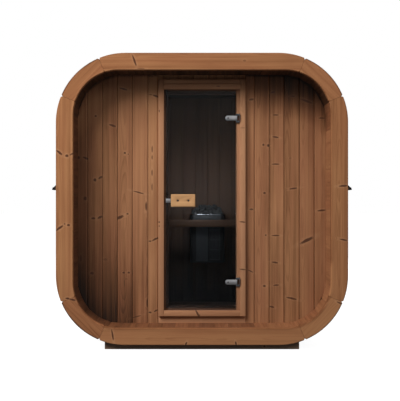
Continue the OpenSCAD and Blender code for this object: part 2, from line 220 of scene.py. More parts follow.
def outlinePoints(core, angle, radius):
    return core + np.stack([np.cos(angle), np.sin(angle)], axis=-1) * np.asarray(radius)[..., None]


# Node tools

def feed(socket, value):
    if isinstance(value, Signal):
        value.tree.links.new(value.socket, socket)
    elif value is not None:
        socket.default_value = value


def addNode(tree, kind, values=(), **settings):
    # Node with its settings, its inputs fed by place or by label
    node = tree.nodes.new(kind)
    for name, value in settings.items():
        setattr(node, name, value)
    for key, value in values.items() if isinstance(values, dict) else enumerate(values):
        feed(node.inputs[key], value)
    return node


class Signal:
    # Value on its way through a node tree: what is done to it adds nodes there
    def __init__(self, socket):
        self.socket = socket
        self.tree = socket.id_data

    def math(self, operation, *values):
        return Signal(addNode(self.tree, "ShaderNodeMath", (self, *values), operation=operation).outputs[0])

    def __add__(self, other):
        return self.math("ADD", other)

    def __sub__(self, other):
        return self.math("SUBTRACT", other)

    def __mul__(self, other):
        return self.math("MULTIPLY", other)

    def vector(self, operation, *values):
        node = addNode(self.tree, "ShaderNodeVectorMath", (self, *values), operation=operation)
        return Signal(node.outputs["Value" if operation == "LENGTH" else "Vector"])

    def noise(self, fineness, detail=2.0, roughness=0.5):
        # As fine as one number says, or stretched by three of them
        even = isinstance(fineness, float)
        return Signal(addNode(self.tree, "ShaderNodeTexNoise", {
            "Vector": self if even else self.vector("MULTIPLY", fineness),
            "Scale": fineness if even else 1.0, "Detail": detail, "Roughness": roughness}).outputs[0])

    def ramp(self, low, high, toLow=0.0, toHigh=1.0, kind="SMOOTHSTEP"):
        return Signal(addNode(self.tree, "ShaderNodeMapRange", (self, low, high, toLow, toHigh),
                              interpolation_type=kind).outputs[0])

    def clamped(self):
        return Signal(addNode(self.tree, "ShaderNodeClamp", (self,)).outputs[0])

    def mix(self, first, second):
        # Colour between two, by the share that this value gives
        node = addNode(self.tree, "ShaderNodeMix", (self,), data_type="RGBA")
        for socket, value in zip([s for s in node.inputs if s.type == "RGBA"], (first, second)):
            feed(socket, value)
        return Signal([s for s in node.outputs if s.type == "RGBA"][0])


def objectPlace(tree):
    return Signal(addNode(tree, "ShaderNodeTexCoord").outputs["Object"])


def attributeOf(tree, name, output="Fac"):
    node = addNode(tree, "ShaderNodeAttribute", attribute_type="GEOMETRY", attribute_name=name)
    return Signal(node.outputs[output])


def groupTree(name, inputs, outputs):
    # New group: its tree, its inputs by label, and what gives its outputs their values
    tree = bpy.data.node_groups.new(name, "ShaderNodeTree")
    for label, kind, value in inputs:
        socket = tree.interface.new_socket(label, in_out="INPUT", socket_type="NodeSocket" + kind)
        if value is not None:
            socket.default_value = value
    for label, kind in outputs:
        tree.interface.new_socket(label, in_out="OUTPUT", socket_type="NodeSocket" + kind)
    first, last = addNode(tree, "NodeGroupInput"), addNode(tree, "NodeGroupOutput")

    def give(**values):
        for label, value in values.items():
            feed(last.inputs[label], value)

    return tree, {label: Signal(first.outputs[label]) for label, kind, value in inputs}, give


def materialWith(name, base=None, rough=None, metal=0.0, **plain):
    material = bpy.data.materials.new(name)
    material.use_nodes = True
    tree = material.node_tree
    shader = tree.nodes["Principled BSDF"]
    feed(shader.inputs["Base Color"], base)
    feed(shader.inputs["Roughness"], rough)
    feed(shader.inputs["Metallic"], metal)
    for label, value in plain.items():
        shader.inputs[label.replace("_", " ")].default_value = value
    return material, tree, shader


def coatShader(shader, colour, rough, height, strength, distance):
    feed(shader.inputs["Base Color"], colour)
    feed(shader.inputs["Roughness"], rough)
    bump = addNode(height.tree, "ShaderNodeBump", {
        "Strength": strength, "Distance": distance, "Height": height})
    feed(shader.inputs["Normal"], Signal(bump.outputs["Normal"]))


# Wood

grainLook = {
    "knotCells": (2.4, 11.0), "knotsKept": 0.62,     # cells per metre of board, share of cells without a knot
    "knotSize": 0.0035, "knotVary": 0.0075,          # smallest radius and what chance adds
    "ringsPerMetre": 230.0,
    "darkJointsAndShade": (0.014, 0.006, 0.003, 1), "heart": (0.050, 0.015, 0.006, 1), "halo": (0.47, 0.25, 0.13, 1),
}


def buildPlankGrain():
    # Growth rings are cylinders around a pith line: their distance, bent by slow noise, is cut into
    # bands; soft streaks, fibres and a few round knots lie over them
    tree, given, give = groupTree("plankGrain", [
        ("Grain", "Vector", None), ("Tone", "Float", 0.0), ("Hue", "Float", 0.0),
        ("Pale", "Color", (0.40, 0.21, 0.11, 1)), ("Deep", "Color", (0.20, 0.09, 0.045, 1)),
        ("Red", "Color", (0.33, 0.14, 0.085, 1)), ("Contrast", "Float", 1.0), ("Knots", "Float", 1.0),
        ("Core", "Float", 0.0), ("Halo", "Float", 0.0),
    ], [("Color", "Color"), ("Roughness", "Float"), ("Height", "Float")])
    grain = given["Grain"]

    # Round knots, one in each cell of board, many of them left out
    alongCells, acrossCells = grainLook["knotCells"]
    spread = grain.vector("MULTIPLY", (alongCells, acrossCells, 0.0))
    cells = addNode(tree, "ShaderNodeTexVoronoi", {"Vector": spread, "Scale": 1.0, "Randomness": 0.85},
                    voronoi_dimensions="2D")
    away = spread.vector("SUBTRACT", Signal(cells.outputs["Position"]))
    away = away.vector("MULTIPLY", (1 / alongCells, 1 / acrossCells, 0.0))
    reach = away.vector("LENGTH") + (grain.noise((60.0, 60.0, 60.0), 1.0) - 0.5) * 0.004
    split = addNode(tree, "ShaderNodeSeparateColor", (Signal(cells.outputs["Color"]),))
    kept = Signal(split.outputs[0]).math("GREATER_THAN", grainLook["knotsKept"]) * given["Knots"]
    size = Signal(split.outputs[1]) * grainLook["knotVary"] + grainLook["knotSize"]
    near = reach.math("DIVIDE", size)
    core = (near.ramp(0.7, 1.15, 1.0, 0.0) * kept).math("MAXIMUM", given["Core"])
    halo = (near.ramp(1.0, 3.4, 1.0, 0.0) * kept).math("MAXIMUM", given["Halo"])

    # Growth rings, pushed aside by the knots
    slow, wander = grain.noise((1.1, 5.0, 5.0)), grain.noise((7.0, 40.0, 40.0))
    flat = grain.vector("MULTIPLY", (0.0, 1.0, 1.0)).vector("LENGTH")
    ringPlace = slow * 0.045 + flat + wander * 0.0032 + halo * 0.006
    turn = (ringPlace * grainLook["ringsPerMetre"]).math("FRACT")
    late = turn.ramp(0.35, 0.93) * turn.ramp(0.93, 1.0, 1.0, 0.0)
    streak = grain.noise((0.9, 46.0, 46.0), 3.0, 0.6)
    patch = grain.noise((1.7, 9.0, 9.0))
    blush = grain.vector("ADD", (7.0, 3.0, 5.0)).noise((1.3, 13.0, 13.0))
    fibre = grain.noise((16.0, 900.0, 900.0), 2.0, 0.6)

    # How deep the brown is: rings, streaks, patches, fibres and the tone attribute, which holds the board's
    # own tone and the painted shade and light laid on it
    deep = late * 0.20 + (streak - 0.5) * 1.15 + (patch - 0.5) * 0.75 + (fibre - 0.5) * 0.35
    deep = deep * given["Contrast"] + 0.34 + given["Tone"] * 0.22
    browned = deep.clamped()
    redness = (blush - 0.5) * 1.5 + (given["Hue"] * 0.28 + 0.3)
    brown = browned.mix(given["Pale"], given["Deep"])
    brown = (redness.clamped() * 0.6).mix(brown, given["Red"])

    # Past the deepest brown the wood turns nearly black: dark joints, and painted shade where high tones lay
    # it on; a knot is a dark heart with a halo, pale where the board is
    brown = deep.ramp(0.85, 2.1, kind="LINEAR").mix(brown, grainLook["darkJointsAndShade"])
    haloShare = halo * (core * -1.0 + 1.0) * (browned * -0.34 + 0.40)
    brown = (core * 0.90).mix(haloShare.mix(brown, grainLook["halo"]), grainLook["heart"])
    give(Color=brown, Roughness=streak * 0.14 + 0.55 + core * -0.15,
         Height=late * 0.5 + fibre * 0.45 + core * 0.35)
    return tree


def buildKnotMark():
    # One knot: a stretched spot whose edge frays with noise, kept where it is darker than what came before
    tree, given, give = groupTree("knotMark", [
        ("Place", "Vector", None), ("Strength", "Float", 1.0), ("Core", "Float", 0.0), ("Halo", "Float", 0.0),
    ], [("Core", "Float"), ("Halo", "Float")])
    reach = (given["Place"].noise(1.7) - 0.5) * 0.8 + given["Place"].vector("LENGTH")
    core = reach.ramp(0.62, 1.12, 1.0, 0.0) * given["Strength"]
    halo = reach.ramp(0.9, 2.6, 1.0, 0.0) * given["Strength"]
    give(Core=core.math("MAXIMUM", given["Core"]), Halo=halo.math("MAXIMUM", given["Halo"]))
    return tree


plankGrain = buildPlankGrain()
knotMark = buildKnotMark()

# The wood's palest brown, its deepest brown and the red that some boards lean to
woodColours = {
    "ring": ((0.370, 0.172, 0.074, 1), (0.165, 0.062, 0.024, 1), (0.300, 0.112, 0.050, 1)),
    "stave": ((0.350, 0.160, 0.072, 1), (0.150, 0.058, 0.024, 1), (0.270, 0.098, 0.046, 1)),
    "wall": ((0.400, 0.192, 0.090, 1), (0.160, 0.066, 0.028, 1), (0.300, 0.118, 0.062, 1)),
    "doorFrame": ((0.440, 0.222, 0.115, 1), (0.230, 0.100, 0.046, 1), (0.350, 0.150, 0.082, 1)),
    "cradle": ((0.340, 0.215, 0.140, 1), (0.075, 0.045, 0.030, 1), (0.160, 0.092, 0.060, 1)),
    "handle": ((0.560, 0.320, 0.150, 1), (0.360, 0.180, 0.078, 1), (0.450, 0.220, 0.100, 1)),
}


def woodMaterial(name, wood, contrast=1.0, knots=1.0, marks=()):
    # Marks are single knots, or dark spots of painted shade: sideways place, height, half length and
    # half width in mm, slope in degrees, and a strength where it isn't 1
    material, tree, shader = materialWith(name, Specular_IOR_Level=0.35)
    core, halo, endless = None, None, 50.0
    place = objectPlace(tree) if marks else None
    for x, z, halfLength, halfWidth, slope, *strength in marks:
        spread = addNode(tree, "ShaderNodeMapping", {
            "Vector": place, "Location": (x * mm, 0, z * mm), "Rotation": (0, -math.radians(slope), 0),
            "Scale": (halfLength * mm, endless, halfWidth * mm)}, vector_type="TEXTURE")
        spot = addNode(tree, "ShaderNodeGroup", {
            "Place": Signal(spread.outputs[0]), "Strength": strength[0] if strength else 1.0,
            "Core": core, "Halo": halo}, node_tree=knotMark)
        core, halo = Signal(spot.outputs["Core"]), Signal(spot.outputs["Halo"])
    pale, deep, red = woodColours[wood]
    grain = addNode(tree, "ShaderNodeGroup", {
        "Grain": attributeOf(tree, "grain", "Vector"), "Tone": attributeOf(tree, "tone"),
        "Hue": attributeOf(tree, "hue"), "Contrast": contrast, "Knots": knots, "Core": core, "Halo": halo,
        "Pale": pale, "Deep": deep, "Red": red}, node_tree=plankGrain)
    colour, rough, height = (Signal(socket) for socket in grain.outputs)
    coatShader(shader, colour, rough, height, 0.35, 0.0006)
    return material


# Knots that stand at real places, and two spots of painted shade on the frame
ringMarks = [
    (-1004, 1392, 30, 9, -38), (-951, 1370, 13, 11, 0), (-918, 1382, 17, 7, 30, 0.8),
    (-1002, 862, 34, 9, 36), (-940, 882, 12, 9, 0), (-967, 890, 7, 6, 0, 0.8), (-948, 366, 15, 7, 0),
    (-910, 356, 24, 8, -12), (-476, 2040, 46, 8, -70), (-430, 1985, 30, 4, 0, 0.6), (-630, 108, 44, 7, -80),
    (-112, 46, 17, 7, 70), (239, 48, 18, 7, 105), (996, 1158, 34, 8, 4), (998, 778, 30, 7, -12),
    (892, 1732, 10, 13, 0), (894, 1618, 9, 8, 0), (899, 1290, 6, 24, 0, 0.6), (970, 333, 24, 7, -25, 0.9),
    (300, 2040, 12, 8, 0, 0.5),
]
leftWallMarks = [
    (-853, 1366, 24, 9, -22), (-905, 1370, 11, 13, 0), (-785, 1206, 12, 13, 0), (-745, 1224, 19, 9, 35),
    (-857, 1070, 14, 15, 0, 0.9), (-797, 924, 17, 9, 0), (-748, 932, 21, 10, 28),
    (-908, 1694, 9, 18, 0, 0.9), (-807, 521, 15, 11, 0), (-889, 630, 9, 26, 0, 0.7),
    (-780, 1675, 9, 9, 0, 0.9), (-709, 622, 18, 10, 0, 0.5), (-655, 1605, 30, 9, -18),
]
doorsideWallMarks = [
    (-604, 930, 36, 12, 26), (-546, 957, 9, 8, 0, 0.9), (-566, 1404, 10, 9, 0), (-541, 1395, 6, 6, 0, 0.8),
    (-464, 1114, 46, 6, -15), (-409, 1012, 8, 36, 0, 0.9), (-576, 1874, 34, 8, -16),
    (-338, 1822, 26, 9, -18), (-378, 1832, 16, 6, 0, 0.7), (-574, 525, 10, 8, 0), (-537, 525, 10, 8, 0),
    (-556, 479, 7, 6, 0, 0.6), (-402, 302, 7, 36, 0, 0.9), (-341, 772, 32, 8, 27),
    (-381, 756, 12, 7, 0, 0.9), (-380, 233, 13, 8, 0), (-338, 246, 18, 7, 30), (-480, 202, 40, 6, 15, 0.8),
    (-365, 1432, 6, 28, 0, 0.8), (-365, 1372, 6, 18, 0, 0.7), (-366, 1259, 6, 26, 0, 0.8),
    (-366, 1154, 6, 30, 0, 0.7),
]
rightWallMarks = [
    (364, 1797, 20, 9, 10, 0.9), (452, 1464, 9, 9, 0), (487, 1459, 10, 12, 0), (460, 1110, 11, 9, 0),
    (542, 1520, 26, 7, -8), (542, 1322, 32, 6, 0), (542, 798, 32, 6, 0), (469, 800, 8, 8, 0, 0.8),
    (542, 1683, 24, 6, 0, 0.9), (537, 600, 26, 7, -8), (546, 433, 24, 7, 5, 0.9), (459, 427, 12, 9, 0),
    (514, 274, 20, 8, -15), (364, 990, 17, 8, 0, 0.9), (358, 536, 26, 6, -25, 0.9),
    (522, 1850, 19, 8, 15, 0.9),
]
outerWallMarks = [
    (672, 1143, 33, 7, 8), (879, 982, 34, 8, 6), (772, 763, 58, 13, 27), (769, 1784, 50, 9, -20),
    (881, 1660, 26, 7, 0, 0.9), (660, 336, 44, 8, -12), (668, 1820, 18, 7, 0, 0.8),
    (650, 1366, 12, 5, 0, 0.5),
]
frameMarks = [
    (-312, 1709, 5, 11, 0, 0.9), (-312, 897, 8, 7, 0, 0.9), (-312, 868, 7, 7, 0, 0.7),
    (-33, 229, 38, 8, -62), (-20, 216, 10, 6, 0, 0.9), (298, 898, 26, 6, -5, 0.9),
    (298, 551, 26, 6, -5, 0.9), (298, 1586, 22, 4, 0, 0.6), (120, 1890, 16, 6, 5, 0.7),
    # The last two are painted shade: dark spots in the recess beside each hinge clamp
    (275, 1658, 15, 38, 0), (275, 457, 15, 38, 0),
]

ringWood = woodMaterial("ringWood", "ring", contrast=1.4, knots=0.0, marks=ringMarks)
rearRingWood = woodMaterial("rearRingWood", "ring", contrast=1.3)
staveWood = woodMaterial("staveWood", "stave", contrast=1.2)
liningWood = woodMaterial("liningWood", "stave", knots=0.6)
leftWallWood = woodMaterial("leftWallWood", "wall", contrast=1.1, knots=0.0, marks=leftWallMarks)
doorsideWallWood = woodMaterial("doorsideWallWood", "wall", contrast=1.4, knots=0.0, marks=doorsideWallMarks)
rightWallWood = woodMaterial("rightWallWood", "wall", contrast=1.5, knots=0.0, marks=rightWallMarks)
outerWallWood = woodMaterial("outerWallWood", "wall", contrast=1.2, knots=0.0, marks=outerWallMarks)
backWallWood = woodMaterial("backWallWood", "wall")
frameWood = woodMaterial("frameWood", "doorFrame", contrast=1.1, knots=0.0, marks=frameMarks)
railWood = woodMaterial("railWood", "wall", knots=0.5)
cradleWood = woodMaterial("cradleWood", "cradle", contrast=1.1)
handleWood = woodMaterial("handleWood", "handle", contrast=0.55, knots=0.0)
print("woods ready")


# Metal, stone and glass

def buildFineWear():
    # For metal: fine brush marks along one way, and smears
    tree, given, give = groupTree("fineWear", [
        ("Vector", "Vector", None), ("Rough", "Float", 0.35), ("Vary", "Float", 0.15),
    ], [("Roughness", "Float"), ("Shade", "Float"), ("Height", "Float")])
    place = given["Vector"]
    brush, smear = place.noise((40.0, 900.0, 900.0), 2.0, 0.6), place.noise(26.0, 3.0, 0.6)
    give(Roughness=((brush - 0.5) + (smear - 0.5)) * given["Vary"] + given["Rough"],
         Shade=smear.ramp(0.3, 0.7, 0.88, 1.0), Height=brush)
    return tree


fineWear = buildFineWear()


def metalMaterial(name, colour, rough, vary=0.15, metal=1.0, bump=0.1):
    material, tree, shader = materialWith(name, metal=metal)
    wear = addNode(tree, "ShaderNodeGroup", {"Vector": objectPlace(tree), "Rough": rough, "Vary": vary},
                   node_tree=fineWear)
    roughness, shade, height = (Signal(socket) for socket in wear.outputs)
    coatShader(shader, shade.mix((0.0, 0.0, 0.0, 1), colour), roughness, height, bump, 0.0002)
    return material


def stoneMaterial():
    # Dark split stone: flecks of two greys, rough, with a coarse and a fine bump
    material, tree, shader = materialWith("heaterStone")
    fleck, cloud = objectPlace(tree).noise(220.0, 4.0, 0.7), objectPlace(tree).noise(22.0, 3.0, 0.6)
    grey = cloud.ramp(0.35, 0.65).mix((0.058, 0.060, 0.060, 1), (0.145, 0.149, 0.145, 1))
    grey = fleck.ramp(0.55, 0.75, 0.0, 0.6).mix(grey, (0.29, 0.29, 0.275, 1))
    coatShader(shader, grey, fleck.ramp(0.3, 0.7, 0.75, 0.95), cloud * 2.0 + fleck, 0.6, 0.002)
    return material


glass = {"tint": (0.365, 0.40, 0.435, 1), "passes": (0.21, 0.235, 0.26, 1), "rough": 0.015, "bend": 1.17}


def glassMaterial():
    # Smoke-tinted glass. Rays from the lamps pass it as through a thin tint, so the room behind is lit
    material, tree, shader = materialWith("smokedGlass", glass["tint"], glass["rough"],
                                          Transmission_Weight=1.0, IOR=glass["bend"])
    clear = addNode(tree, "ShaderNodeBsdfTransparent", (glass["passes"],))
    path = addNode(tree, "ShaderNodeLightPath")
    mix = addNode(tree, "ShaderNodeMixShader", (
        Signal(path.outputs["Is Shadow Ray"]), Signal(shader.outputs[0]), Signal(clear.outputs[0])))
    feed(tree.nodes["Material Output"].inputs["Surface"], Signal(mix.outputs[0]))
    return material


steel = metalMaterial("satinSteel", (0.36, 0.36, 0.37, 1), 0.34)
darkSteel = metalMaterial("darkScrewSteel", (0.10, 0.10, 0.105, 1), 0.42, metal=0.8)
strapSteel = metalMaterial("blackStrapSteel", (0.020, 0.020, 0.022, 1), 0.55, metal=0.0)
capRubber = materialWith("capRubber", (0.012, 0.012, 0.013, 1), 0.75, Specular_IOR_Level=0.2)[0]
heaterPaint = metalMaterial("heaterPaint", (0.044, 0.044, 0.045, 1), 0.55, metal=0.0, bump=0.25)
heaterPanelPaint = metalMaterial("heaterPanelPaint", (0.125, 0.128, 0.128, 1), 0.42, metal=0.3)
rimSteel = metalMaterial("rimSteel", (0.90, 0.91, 0.93, 1), 0.09, vary=0.03)
stone = stoneMaterial()
smokedGlass = glassMaterial()
print("metal, stone and glass ready")


# Plank rings

ring = {
    "outer": 0.490,                      # corner radius of the outer edge
    "thick": 0.042, "edge": 0.004,       # plank thickness and chamfer
    "share": 22.5, "joint": 0.0014,      # corner share of a long plank in degrees, open joint
    "jointRadius": 0.43,                 # where the joint has its stated width
    "notch": 0.008, "notchOut": 0.009, "notchIn": 0.005,   # corners cut off a plank's ends
    "leads": [0.93, 0.80],               # more stations on the straight stretch, as shares of its half
    "outerShadeBand": 0.007, "band": 0.016,     # widths of the outer band of painted shade and of the inner band of painted highlight or shade
    # Tone added at the outer edge, as painted shade, then at the inner one from the first end of the
    # piece to its last: a painted highlight below 0, painted shade above
    "edgeShadeAndHighlight": {"top": (1.5, -1.0, -1.4), "left": (1.0, -2.0, -0.6), "top_left": (5.5, -1.6, -1.6),
                  "bottom": (1.0, 3.6, 3.6), "right": (1.0, 1.6, 1.6), "top_right": (5.5, 0.8, -0.8),
                  "bottom_left": (5.5, 0.4, 1.2), "bottom_right": (5.5, 4.5, 4.5)},
    "footHighlight": -4.2,                      # painted highlight: tone added to the inner edge right of a place, between two heights
    "footHighlightFrom": 0.7, "footHighlightHeights": (0.38, 0.60),
}


def innerReach(angle):
    # How far the ring's inner edge lies from the centre of its outer arc: level beside a corner, then
    # around the tighter arc, whose centre is further out
    bend = np.abs(np.mod(angle + math.pi / 4, math.pi / 2) - math.pi / 4)
    shift, radius = cabin["innerCentre"] - cabin["arcCentre"], cabin["innerCorner"]
    along = shift * (np.cos(bend) + np.sin(bend))
    arc = along + np.sqrt(radius ** 2 - 2 * shift ** 2 + along ** 2)
    return np.where((radius + shift) * np.tan(bend) < shift, (radius + shift) / np.cos(bend), arc)


def ringProfile(inner, cutOut, cutIn):
    # Closed profile of radius and depth, chamfered, with the radius cut back at both edges
    low, high = inner + cutIn, ring["outer"] - cutOut
    far = ring["thick"]
    c, k = ring["edge"], ring["edge"] * 0.35
    return np.array([
        (low + c, 0), (low + c + ring["band"], 0), (high - c - ring["outerShadeBand"], 0), (high - c, 0),
        (high - k, k), (high, c), (high, far - c), (high - k, far - k), (high - c, far), (low + c, far),
        (low + k, far - k), (low, far - c), (low, c), (low + k, k),
    ])


def ringRows(coreList, angleList, face):
    # The profile stands on each station of the path; at the end stations the corners are cut off
    cut = np.zeros(len(angleList))
    cut[0] = cut[-1] = 1
    profiles = np.stack([ringProfile(inner, ring["notchOut"] * c, ring["notchIn"] * c)
                         for inner, c in zip(innerReach(angleList), cut)])
    unit = np.stack([np.cos(angleList), np.sin(angleList)], axis=-1)
    flat = np.asarray(coreList)[:, None, :] + unit[:, None, :] * profiles[:, :, :1]
    return np.stack([flat[..., 0], face + profiles[..., 1], flat[..., 1]], axis=-1)


def ringEdgeTone(tone, rows, outer, first, last):
    # Tone by corner of the profile: painted shade on the outer edge, painted highlight or shade on the
    # inner one, and a painted highlight at the foot of the right plank
    atOuter = np.array([0, 0, 0, 0.7, 1, 1, 1, 1, 0, 0, 0, 0, 0, 0])
    atInner = np.array([0.8, 0, 0, 0, 0, 0, 0, 0, 0, 0, 1, 1, 1, 1])
    inner = np.linspace(first, last, len(rows))[:, None]
    lowest, highest = ring["footHighlightHeights"]
    foot = (rows[:, :, 0] > ring["footHighlightFrom"]) & (rows[:, :, 2] > lowest) & (rows[:, :, 2] < highest)
    return (tone + atOuter * outer + atInner * (inner + foot * ring["footHighlight"])).ravel()


def ringWays(angle):
    # Along the outline, outwards and into the board, at an angle of the outline
    return ((-math.sin(angle), 0, math.cos(angle)), (math.cos(angle), 0, math.sin(angle)), (0, 1, 0))


def ringPlankPath(side):
    # Straight stretch with a share of both corners, stations at even angles
    half = cabin["arcCentre"]
    middle = math.pi / 2 * side
    normal = np.array([math.cos(middle), math.sin(middle)])
    tangent = np.array([-normal[1], normal[0]])
    turn = math.radians(ring["share"]) - ring["joint"] / 2 / ring["jointRadius"]
    bevelTurn = ring["notch"] / ring["outer"]
    bends = np.concatenate([[turn], np.linspace(turn - bevelTurn, 0, 8)])
    reach = np.concatenate([np.ones(len(bends)), ring["leads"]])
    bends = np.concatenate([bends, np.zeros(len(ring["leads"]))])
    angle = np.concatenate([middle - bends, middle + bends[::-1]])
    sign = np.concatenate([-reach, reach[::-1]])
    centre = np.array([0, cabin["middleZ"]])
    core = centre + normal * half + tangent * (sign * half)[:, None]
    return core, angle, ringWays(middle)


def ringCornerPath(corner):
    # Arc between two joints, around one centre
    half = cabin["arcCentre"]
    start = math.pi / 2 * corner
    turn = math.radians(ring["share"]) + ring["joint"] / 2 / ring["jointRadius"]
    bevelTurn = ring["notch"] / ring["outer"]
    low, high = start + turn, start + math.pi / 2 - turn
    angle = np.concatenate([[low], np.linspace(low + bevelTurn, high - bevelTurn, 12), [high]])
    middle = start + math.pi / 4
    centre = np.array([math.copysign(half, math.cos(middle)),
                       math.copysign(half, math.sin(middle)) + cabin["middleZ"]])
    return np.repeat(centre[None, :], len(angle), axis=0), angle, ringWays(middle)


# The default edges paint shade on the outer edge and a highlight on the inner one
def ringPart(path, face, luck, tone=None, hue=None, edges=(2.4, -1.2, -1.2)):
    core, angle, ways = path
    rows = ringRows(core, angle, face)
    part = boardPart(rows, ways, luck, tone, hue)
    part["tone"] = ringEdgeTone(part["tone"], rows, *edges)
    return part


sideNames = ["right", "top", "left", "bottom"]
cornerNames = ["top_right", "top_left", "bottom_left", "bottom_right"]
ringTones = {"right": (0.2, 0.1), "top": (0.2, 0.3), "left": (-0.4, -0.1), "bottom": (-1.3, 0.2),
             "top_right": (0.6, 0.2), "top_left": (1.1, 0.5), "bottom_left": (0.9, 0.4),
             "bottom_right": (-1.8, -0.2)}
ringFront, ringRear = -0.815, 0.773

luck = np.random.default_rng(11)
for prefix, node, names, path in (
        ("frontRing_", "front_ring_", sideNames, ringPlankPath),
        ("frontRingCorner_", "front_ring_corner_", cornerNames, ringCornerPath)):
    for k, name in enumerate(names):
        part = ringPart(path(k), ringFront, luck, *ringTones[name], ring["edgeShadeAndHighlight"][name])
        boardObject(prefix + name, [part], ringWood, [node + name])
luck = np.random.default_rng(12)
for name, node, path in (("rearRingPlanks", "rear_ring_planks", ringPlankPath),
                         ("rearRingCorners", "rear_ring_corners", ringCornerPath)):
    parts = [ringPart(path(k), ringRear, luck) for k in range(4)]
    boardObject(name, parts, rearRingWood, [node])
print("plank rings ready")


# Staves

staves = {
    "sideCount": 11, "cornerCount": 8,   # boards on each flat side and around each corner, outside
    "outerBack": 0.4285, "liningBack": 0.360,   # radii of the outside boards' backs and of the lining's
    "outerEdge": (0.0034, 0.0040),       # half width and depth of the outside V joints
    "liningPitch": 0.09493, "liningStart": -0.0015,
    "liningEdge": (0.0012, 0.0014),
    "gap": 0.00035, "ends": (-0.773, 0.773),
    # Boards are counted to the right from the middle of the floor: tone and hue of single ones, and
    # the last board and the tone of each batch of the others. The tones are painted shade, deep on the
    # ceiling and the left side, less on the floor and slight on the right side, where a few boards
    # are painted lighter
    "liningShadeTones": {-3: (3.8, 1.4), -2: (2.6, 1.0), -1: (3.9, 1.8), 0: (4.4, 1.6), 1: (2.9, 0.8),
                    2: (3.3, 0.6), 3: (4.4, 1.5),
                    10: (0.2, 0.2), 11: (0.0, 0.4), 12: (0.2, 0.1), 13: (0.4, 0.3)},
    "batchEnds": [-25, -8, 3, 12, 22, 24], "batchShadeTones": [6.4, 4.8, 3.6, 1.5, 0.1, 2.6, 6.4],
}


def staveRows(coreA, angleA, coreB, angleB, faceRadius, backRadius, edge):
    # One board between two radial joints, with the ways of its wood: a flat face with bevelled
    # edges, and a flat back
    a, b = outlinePoints(coreA, angleA, faceRadius), outlinePoints(coreB, angleB, faceRadius)
    backA, backB = outlinePoints(coreA, angleA, backRadius), outlinePoints(coreB, angleB, backRadius)
    e = (b - a) / np.linalg.norm(b - a)
    f = (backA - a) / np.linalg.norm(backA - a)
    h = (backB - b) / np.linalg.norm(backB - b)
    g, (w, d) = staves["gap"], edge
    section = np.array([
        a + e * (g + w), b - e * (g + w), b - e * (g + w * 0.3) + h * d * 0.45, b - e * g + h * d,
        backB - e * g, backA + e * g, a + e * g + f * d, a + e * (g + w * 0.3) + f * d * 0.45,
    ])
    x, z = section.T
    rows = np.stack([np.stack([x, np.full(len(x), y), z], axis=-1) for y in staves["ends"]])
    return rows, ((0, 1, 0), (e[0], 0, e[1]), (f[0], 0, f[1]))


def outerStaves():
    luck = np.random.default_rng(21)
    half, radius = cabin["arcCentre"], cabin["outerRadius"]
    period = 2 * half + radius * math.pi / 2
    flat = np.linspace(-half, half, staves["sideCount"] + 1)[:-1]
    bend = half + np.arange(staves["cornerCount"]) * radius * math.pi / 2 / staves["cornerCount"]
    seams = (np.arange(4)[:, None] * period + np.concatenate([flat, bend])[None, :]).ravel()
    core, angle = outlinePlaces(seams, radius)
    parts = []
    for i in range(len(seams)):
        j = (i + 1) % len(seams)
        rows, ways = staveRows(core[i], angle[i], core[j], angle[j],
                               radius, staves["outerBack"], staves["outerEdge"])
        parts.append(boardPart(rows, ways, luck))
    return parts


def liningStaves():
    # Seams of the floor run on around the whole room. A corner board's edges lie a little behind the
    # true arc, so that its flat face just touches it
    luck = np.random.default_rng(22)
    half, radius = cabin["innerCentre"], cabin["innerCorner"]
    perimeter = 8 * half + 2 * math.pi * radius
    count = round(perimeter / staves["liningPitch"])
    pitch = perimeter / count
    index = np.arange(count)
    seams = staves["liningStart"] + index * pitch
    core, angle = outlinePlaces(seams, radius, half)
    before, after = (outlinePlaces(seams + step, radius, half)[1] for step in (-pitch / 2, pitch / 2))
    turn = np.abs(np.angle(np.exp(1j * (after - before))))
    edge = radius / np.cos(turn / 2)
    parts = []
    for i in index:
        j = (i + 1) % count
        face = (edge[i] + edge[j]) / 2
        rows, ways = staveRows(core[i], angle[i], core[j], angle[j],
                               face, staves["liningBack"], staves["liningEdge"])
        place = i if i < count // 2 else i - count
        # Painted shade on the lining, set board by board or by batch
        tone, hue = staves["liningShadeTones"].get(int(place), (None, None))
        if tone is None:
            batch = staves["batchShadeTones"][np.searchsorted(staves["batchEnds"], place)]
            tone, hue = luck.normal(batch, 0.3), luck.normal(0.2, 0.3)
        parts.append(boardPart(rows, ways, luck, tone, hue))
    return parts


shellNodes = ["floor_staves", "roof_staves", "left_wall_staves", "right_wall_staves",
              "corner_staves_top_right", "corner_staves_top_left",
              "corner_staves_bottom_left", "corner_staves_bottom_right"]
boardObject("outerStaves", outerStaves(), staveWood, shellNodes)
boardObject("liningStaves", liningStaves(), liningWood)
print("staves ready")


# End walls

